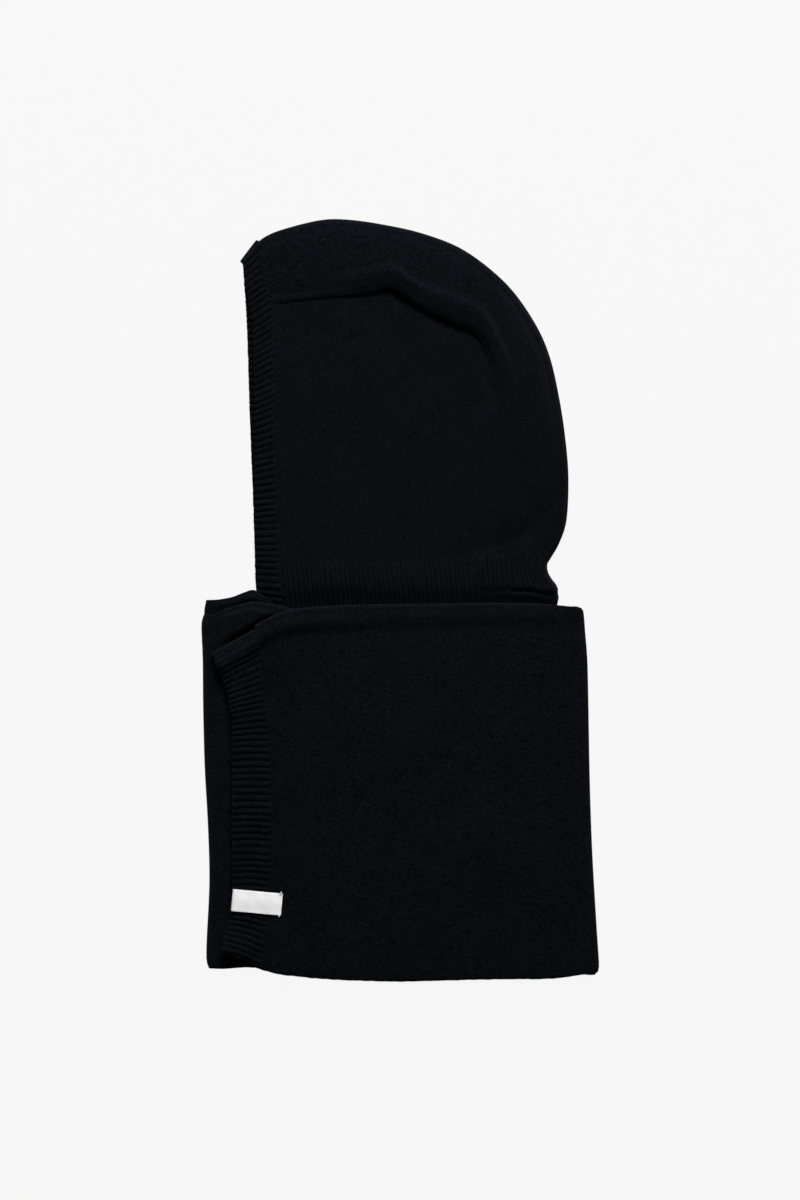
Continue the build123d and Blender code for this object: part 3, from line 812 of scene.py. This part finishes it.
def neck_band():
    """The ribbed neck band: left side, round the back of the neck, right side."""
    per_side, round_back, rows = 560, 24, 30
    foot = even(curve(NECK_FOOT), per_side)
    top = even(curve([(x, y + 4) for x, y in NECK_TOP[:-1]] + [NECK_BACK[-1]]), per_side)
    back = even(curve(NECK_BACK), rows)
    foot[-1], top[-1] = back[0], back[-1]
    plan = patch(foot, top, even([foot[0], top[0]], rows), back)
    ruled = foot[:, None] + (top - foot)[:, None] * np.linspace(0, 1, rows)[None, :, None]
    bent = smooth_step(np.linspace(0, 1, per_side), 0.84, 1)[:, None, None]
    plan = ruled * (1 - bent) + plan * bent
    over = np.maximum(plan[..., 1] - neck_line(plan[..., 0]), 0)
    drop = -5.2 * (1 - smooth_step(plan[..., 1], -11, 14)) + 0.5 * hump(plan[..., 1], 20, 9)
    upper = HOOD_TOP + 0.1 + hood_swell(plan) + drop - CROSSING * over + neck_folds(plan)
    lower = np.full((per_side, rows), RIGHT_Z + 0.35)

    way = unit(np.gradient(back, axis=0))
    outward = np.stack([way[:, 1], -way[:, 0]], axis=1)
    turn = np.linspace(0, math.pi, round_back)[1:-1, None]
    half = (upper[-1:] - lower[:1]) / 2
    arc = back[None] + outward[None] * (half[..., None] * 0.85 * np.sin(turn)[..., None])
    z = np.concatenate([upper, lower[:1] + half + half * np.cos(turn), lower])
    grid = raised(np.concatenate([plan, arc, plan[::-1]]), z)

    along = lengths(grid, 0)[:, rows // 2][:, None]
    relief = ribs(along, NECK_PITCH, 21)
    linked = smooth_step(grid[..., 1] - neck_line(grid[..., 0]), -3.5, 1)
    relief = levelled(relief, 0.75, 0.55 * linked)
    plain = smooth_step(grid[..., 0], 52, 80) * (1 - smooth_step(grid[..., 1], 9, 15))
    plain = np.maximum(plain, smooth_step(grid[..., 0], 112, 118) * 0.9)
    relief = levelled(relief, FLATTENED, plain)
    piece = cloth("neck_band_ribs", grid, relief, NECK_RIB_HEIGHT, wales="v")
    settle(piece, "rib_knit", ["neck_band"], body="hood")
    for name, column, radius, rise in (("upper", rows - 5, 0.55, 0.65), ("lower", 3, 0.9, 2.8)):
        line = grid[:, column].copy()
        line[:, 2] += np.where(np.arange(len(line)) < per_side, rise, -0.1)
        seam(f"neck_seam_{name}", line[3:-3], radius, 2.2)


# --- scarf ---
def rolled_edge(grid, radius, turn_to, steps=12):
    """Curls a grid's last column over and under; the radius is one number for each row."""
    edge = grid[:, -1]
    out = edge - grid[:, -3]
    out[:, 2] = 0
    out = unit(out)
    radius = np.asarray(radius, float)[:, None]
    centre = edge - radius * (0, 0, 1)
    angles = np.radians(np.linspace(90, turn_to, steps + 1)[1:])
    up = np.array([0, 0, 1.0])
    roll = [centre + radius * (math.cos(a) * out + math.sin(a) * up) for a in angles]
    return np.concatenate([grid, np.stack(roll, axis=1)], axis=1)


def smoothed(grid, rounds):
    """Rounds off a grid along its rows, ends kept."""
    for _ in range(rounds):
        grid = np.concatenate([grid[:1], (grid[:-2] + 2 * grid[1:-1] + grid[2:]) / 4, grid[-1:]])
    return grid


def turned_layer(low_plan, low_z, up_plan, up_z, side, reach=FOLD_REACH, steps=26):
    """Two layers joined by a fold. Both end at the fold line, which lies on the right where side
    is 1 and on the left where it is -1. A height is one number or one for each point."""
    low_z = np.broadcast_to(low_z, low_plan.shape[:-1])
    up_z = np.broadcast_to(up_z, up_plan.shape[:-1])
    radius = (up_z[0] - low_z[-1]) / 2
    turn = np.linspace(0, math.pi, steps)[1:-1, None]
    arc = np.repeat(low_plan[-1:], len(turn), axis=0)
    arc[..., 0] += side * reach * radius * np.sin(turn)
    arc_z = (low_z[-1] + up_z[0]) / 2 - radius * np.cos(turn)
    grid = raised(np.concatenate([low_plan, arc, up_plan]), np.concatenate([low_z, arc_z, up_z]))
    first, last = len(low_plan) - 8, len(low_plan) + len(turn) + 12
    grid[first:last] = smoothed(grid[first:last], 6)
    return grid


def layer_plan(foot_y, top, inner_x, fold, count, v):
    """Plan of a scarf layer from a cut at inner_x to its fold line, which runs foot to top."""
    top = curve(top, 900)
    low, high = sorted((inner_x, fold[-1, 0]))
    inside = top[(top[:, 0] >= low) & (top[:, 0] <= high)]
    if inner_x > fold[-1, 0]:
        inside = inside[::-1]
    top_line = even(np.vstack([inside, fold[-1:]]), count)
    foot_line = even([(inner_x, foot_y), fold[0]], count)
    foot_line[:, 1] -= 1.6 * hump(foot_line[:, 0], -150, 12)  # a small belly beside the cuff
    return patch(foot_line, top_line, spaced([foot_line[0], top_line[0]], v), fold, v)


def fold_line(points, inset, v):
    """A fold's line, given from the top down, moved along x and returned from the foot up."""
    return spaced(curve(points)[::-1], v) + (inset, 0)


def edge_rise(grid):
    """Rise of a rolled selvedge along a grid's last column."""
    inwards = to_end(grid, 1)
    rise = SELVEDGE_RISE * (0.4 + 0.6 * smooth_step(inwards, 0, SELVEDGE_CREST))
    return rise * (1 - smooth_step(inwards, SELVEDGE_CREST, SELVEDGE_END))


def left_tail_front():
    """The left tail from the middle of its second layer, round the right fold to its cuff."""
    cols, hidden, across = 128, 30, 190
    v = close_to_top(cols)
    level = LEFT_END_Z + OVER_CAD
    radius = (level - LEFT_MIDDLE_Z) / 2
    fold = fold_line(FRONT_RIGHT, -(FOLD_REACH * radius + KNIT / 2), v)
    under = layer_plan(LAYER_FOOT - 3, OUTER_TOP, MIDDLE_X, fold, hidden, v)
    foot = even(np.vstack([curve(FRONT_FOOT)[:-12], fold[:1]]), across)
    top = even(np.vstack([curve(FRONT_TOP)[:-24], fold[-1:]]), across)
    front = patch(foot, top, spaced(curve(CUFF_INNER)[::-1] - (3, 0), v), fold, v)

    from_cuff, from_fold = lengths(front, 0), to_end(front, 0)
    foot_dip = -0.9 * (1 - smooth_step(lengths(front, 1), 0, 9))
    selvedge = edge_rise(front) * (1 - 0.45 * smooth_step(from_cuff, 30, 110))
    loose = swell(front, 13, 150, 0.4) + mound(front, -20, -110, 90, 50, 10, 1.0)
    loose = loose * smooth_step(from_fold, 0, 40) * smooth_step(from_cuff, 3, 40)
    z = level + selvedge * smooth_step(from_fold, 0, 30) + foot_dip + loose
    z = z - CROSSING * 1.6 * np.maximum(4 - from_cuff, 0)
    grid = turned_layer(under, LEFT_MIDDLE_Z, front[::-1], z[::-1], side=1)

    on_front = np.arange(len(grid)) - (len(grid) - across)
    grid = rolled_edge(grid, 0.25 + 2.6 * smooth_step(on_front, 0, 20), -60)
    piece = cloth("left_tail_front_cloth", grid[:, ::-1], fibres=8000, nap_from=LEFT_END_Z - 2.5)
    nodes = ["left_tail_middle", "left_tail_second_bend", "left_tail_end"]
    heights = LEFT_MIDDLE_Z + KNIT / 2 + 0.1, LEFT_MIDDLE_Z + CLOTH
    settle(piece, "plain_knit", nodes, bend=("tails_middle", "tails_end", *heights))


def right_tail_front():
    """The right tail from the middle of its second layer, round the right fold to its cuff."""
    cols, hidden, across = 90, 30, 100
    v = close_to_top(cols)
    radius = (RIGHT_END_Z - RIGHT_MIDDLE_Z) / 2
    fold = fold_line(FRONT_RIGHT, -(radius + KNIT / 2 + 2.2 * CLOTH), v)
    under = layer_plan(LAYER_FOOT, OUTER_TOP, MIDDLE_X, fold, hidden, v)
    top = [(x, y - 8) for x, y in FRONT_TOP]
    over = layer_plan(LAYER_FOOT, top, -98.0, fold, across, v)[::-1]
    grid = turned_layer(under, RIGHT_MIDDLE_Z, over, RIGHT_END_Z, side=1)
    piece = cloth("right_tail_front_cloth", grid[:, ::-1], fibres=600, nap_from=RIGHT_END_Z)
    nodes = ["right_tail_middle", "right_tail_second_bend", "right_tail_end"]
    heights = RIGHT_MIDDLE_Z + CLOTH / 2, RIGHT_END_Z - CLOTH / 2
    settle(piece, "plain_knit", nodes, bend=("tails_middle", "tails_end", *heights))


def tail_back(side, low_z, high_z, top, inset, rise, dip, roll, clear_z):
    """A tail's first layer, round the left fold and back to the middle of its second layer.

    Its top edge stands up by rise where it shows, and falls to nothing over the distances in dip
    beside the edge that lies in front of it; roll is the radius at which it rolls under."""
    cols, across = 120, 90
    v = close_to_top(cols)
    radius = (high_z - low_z) / 2
    fold = fold_line(OUTER_LEFT, radius + KNIT / 2 + inset, v)
    fold[:, 1] += (top[0][1] - fold[-1, 1]) * v**8
    under = layer_plan(LAYER_FOOT, top, BACK_X, fold, across, v)
    over = layer_plan(LAYER_FOOT, top, MIDDLE_X, fold, across, v)[::-1]

    next_edge = curve(CUFF_TOP + FRONT_TOP[1:] if side == "right" else OUTER_TOP)
    valley = over[..., 1] - np.interp(over[..., 0], next_edge[:, 0], next_edge[:, 1])
    shows = (1 - smooth_step(over[..., 0], -108, -84)) * smooth_step(lengths(over, 0), 0, 18)
    edge = rise * (0.4 + 0.6 * smooth_step(to_end(over, 1), 0, 6))
    up_z = high_z + edge * smooth_step(valley, *dip) * shows
    grid = turned_layer(under, low_z, over, up_z, side=-1, reach=1.0)

    past_fold = np.arange(len(grid)) - (len(grid) - across)
    rolled = smooth_step(past_fold, 0, 8) * (1 - smooth_step(past_fold, 34, 48))
    grid = rolled_edge(grid, 0.1 + roll * rolled, -60, steps=8)
    piece = cloth(f"{side}_tail_back_cloth", grid, nap_from=high_z + 0.5)
    heights = low_z + KNIT / 2 + 0.05, clear_z
    nodes = ["scarf_back", f"{side}_tail_first_bend"]
    settle(piece, "plain_knit", nodes, bend=("hood", "tails_middle", *heights))


def scarf_back_fold():
    """The short stretch of scarf that folds round at the centre back of the neck."""
    rows = 100
    line = even([(BACK_X, LAYER_FOOT), (BACK_X, -12)], rows)
    radius = (LEFT_Z - RIGHT_Z) / 2
    turn = np.linspace(0, math.pi, 30)
    plan = np.repeat(line[None], len(turn), axis=0)
    plan[..., 0] += (radius + 0.8) * np.sin(turn)[:, None]
    z = (LEFT_Z + RIGHT_Z) / 2 + radius * np.cos(turn)[:, None] + np.zeros((1, rows))
    piece = cloth("scarf_back_fold_cloth", raised(plan, z)[::-1, ::-1])
    settle(piece, "plain_knit", ["scarf_back"], body="hood")


def cuff(side, z_level, dx, lifted):
    """The ribbed end of a tail, its ribs fanned at both corners, moved inwards by dx. Where it is
    lifted, its top edge rolls and its foot curls up at the corner."""
    count, cols, roll_steps = 30, 440, 12
    inner, edge = curve(CUFF_INNER, cols)[::-1], curve(CUFF_EDGE, 900)[::-1]
    reach = np.interp(inner[:, 1], *zip(*FAN))
    edge = np.stack([np.interp(reach, edge[:, 1], edge[:, 0]), reach], axis=1)
    top, foot = even(curve(CUFF_TOP), count), even(curve(CUFF_FOOT), count)
    foot[0], foot[-1], top[0], top[-1] = edge[0], inner[0], edge[-1], inner[-1]
    plan = patch(foot, top, edge, inner + (3, 0)) + (dx, 0)
    from_edge, to_seam, from_foot = lengths(plan, 0), to_end(plan, 0), lengths(plan, 1)
    z = z_level + OVER_CAD - CROSSING * np.maximum(3 - to_seam, 0)
    corner = 4.8 * (1 - smooth_step(from_foot, 0, 24)) * (1 - smooth_step(from_edge, 4, 34))
    curl = 0.9 * hump(from_edge, 5, 4) - 1.3 * (1 - smooth_step(from_edge, 0, 3))
    z = z + lifted * (edge_rise(plan) + corner + curl)
    grid = raised(plan, z)

    relief = ribs(lengths(raised(inner, 0)[None], 1), CUFF_PITCH, 31)
    at_seam, at_edge = 1 - smooth_step(to_seam, 0, 5), 1 - smooth_step(from_edge, 0, 2)
    relief = levelled(relief, FLATTENED, np.maximum(at_seam, 0.5 * at_edge))
    relief = levelled(relief, FLATTENED, 0.6 * (1 - smooth_step(to_end(plan, 1), 6, 22)))
    if lifted:
        grid = rolled_edge(grid, np.full(count, 2.85), -60, roll_steps)
        relief = np.concatenate([relief, np.full((count, roll_steps), FLATTENED)], axis=1)
    piece = cloth(f"{side}_cuff_ribs", grid, relief, RIB_HEIGHT)
    settle(piece, "rib_knit", [f"{side}_tail_cuff"], body="tails_end")
    line = raised(inner + (dx + 0.4, 0), z_level + 0.6)[12:-30]
    seam(f"{side}_cuff_seam", line, 0.6, 2.2, body="tails_end")


# --- label ---
def label():
    """The blank ribbon folded round the edge of the left cuff, held by two stitches."""
    low, high = (np.array(corner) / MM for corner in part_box("label"))
    middle = ((low + high) / 2)[:2] + (0.1, 0.7)
    turn = math.radians(-5.2)
    along = np.array([math.cos(turn), math.sin(turn)])
    across = np.array([-along[1], along[0]])
    half_long, half_wide = 20.8, 9.0
    bend_x, lower_x = 1.5 - half_long, 14 - half_long  # where its turn begins and its back ends
    top_z, foot_z = LEFT_END_Z + CLOTH / 2 + 1.5, LEFT_END_Z - CLOTH / 2 - 0.4
    radius = (top_z - foot_z) / 2
    upper = np.linspace(half_long, bend_x, 60)
    bend = np.linspace(math.pi / 2, 3 * math.pi / 2, 18)[1:-1]
    lower = np.linspace(bend_x, lower_x, 20)
    x = np.concatenate([upper, bend_x + radius * 0.7 * np.cos(bend), lower])
    crumple = 0.3 * np.sin(upper / 5.0) - 0.5 * smooth_step(upper, 8, half_long)
    bend_z = (top_z + foot_z) / 2 + radius * np.sin(bend)
    z = np.concatenate([top_z + crumple, bend_z, np.full(len(lower), foot_z)])
    y = np.linspace(-half_wide, half_wide, 26)
    plan = middle + x[:, None, None] * along + y[None, :, None] * across
    grid = raised(plan, z[:, None] + 0.15 * np.cos(y / 3.1)[None])
    piece = cloth("label_ribbon", grid[:, ::-1], thick=0.45, ragged=0.04, fibres=1)
    settle(piece, "woven_label", ["label"], body="tails_end")
    for name, way in (("upper", 1), ("lower", -1)):
        start = middle + along * (half_long - 2.2) + across * way * (half_wide - 0.8)
        end = middle + along * (half_long - 1.0) + across * way * (half_wide + 1.7)
        s = np.linspace(0, 1, 9)[:, None]
        line = raised(start * (1 - s) + end * s, top_z - 0.2 + 0.5 * np.sin(s[:, 0] * math.pi))
        stitch = stitched_line(f"label_stitch_{name}_thread", line, 0.5, 0.9, flat=1.0)
        settle(stitch, "label_thread", [f"label_stitch_{name}"], body="tails_end")


# --- studio ---
def studio():
    """Pale floor, one large soft light beyond the crown, an even sky, and the camera overhead."""
    scene = bpy.context.scene
    bpy.ops.mesh.primitive_plane_add(size=8, location=(0, 0, -0.0004))
    floor = bpy.context.object
    floor.name = "floor"
    floor.data.materials.append(floor_material())
    key = bpy.data.lights.new("key", "AREA")
    key.shape, key.energy = "RECTANGLE", KEY_WATTS
    key.size, key.size_y = KEY_SIZE
    lamp = bpy.data.objects.new("key", key)
    lamp.location = KEY_PLACE
    lamp.rotation_euler = (math.radians(KEY_TILT), 0, 0)
    scene.collection.objects.link(lamp)
    world = bpy.data.worlds.new("sky")
    world.use_nodes = True
    background = world.node_tree.nodes["Background"]
    background.inputs["Color"].default_value = (1, 1, 1, 1)
    background.inputs["Strength"].default_value = SKY
    scene.world = world
    lens = bpy.data.cameras.new("camera")
    lens.lens, lens.sensor_width = LENS, SENSOR
    camera = bpy.data.objects.new("camera", lens)
    camera.location = (0, 0, VIEW_SIDE * LENS / SENSOR + VIEW_Z)
    scene.collection.objects.link(camera)
    scene.camera = camera
    scene.view_settings.view_transform = "Standard"


hood_panels()
crown()
face_band()
neck_band()
tail_back(
    "left", low_z=LEFT_Z, high_z=LEFT_MIDDLE_Z, top=INNER_TOP, inset=2.5, rise=3.6,
    dip=(1.5, 8.5), roll=0.4, clear_z=LEFT_Z + KNIT / 2 + 0.5,
)
tail_back(
    "right", low_z=RIGHT_Z, high_z=RIGHT_MIDDLE_Z, top=OUTER_TOP, inset=0.0, rise=5.4,
    dip=(3.5, 10.5), roll=2.2, clear_z=LEFT_Z + CLOTH / 2,
)
scarf_back_fold()
right_tail_front()
left_tail_front()
cuff("right", RIGHT_END_Z, dx=12.0, lifted=False)
cuff("left", LEFT_END_Z, dx=0.0, lifted=True)
label()
studio()
